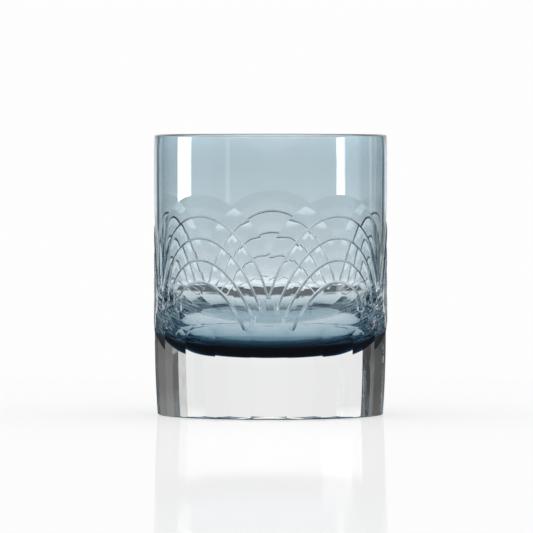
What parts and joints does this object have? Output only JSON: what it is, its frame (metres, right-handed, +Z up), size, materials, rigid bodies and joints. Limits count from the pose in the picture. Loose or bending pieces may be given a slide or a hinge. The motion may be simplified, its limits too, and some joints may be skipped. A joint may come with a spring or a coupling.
{
  "type": "whiskey tumbler",
  "caption": "Whiskey tumbler in cased glass: a blue-grey bowl in clear crystal, with cut fans round the wall and flats round a heavy clear base.",
  "frame": {"origin": "middle of the resting face under the base", "axes": "+Z up along the glass's own axis, -Y the front; a valley between two cut fans faces the front"},
  "size_m": [0.08, 0.08, 0.096],
  "materials": {
    "clear_crystal": "gloss",
    "blue_glass": "gloss"
  },
  "bodies": {
    "root": {"clear_body": "clear_crystal", "tinted_bowl": "blue_glass"}
  },
  "joints": []
}
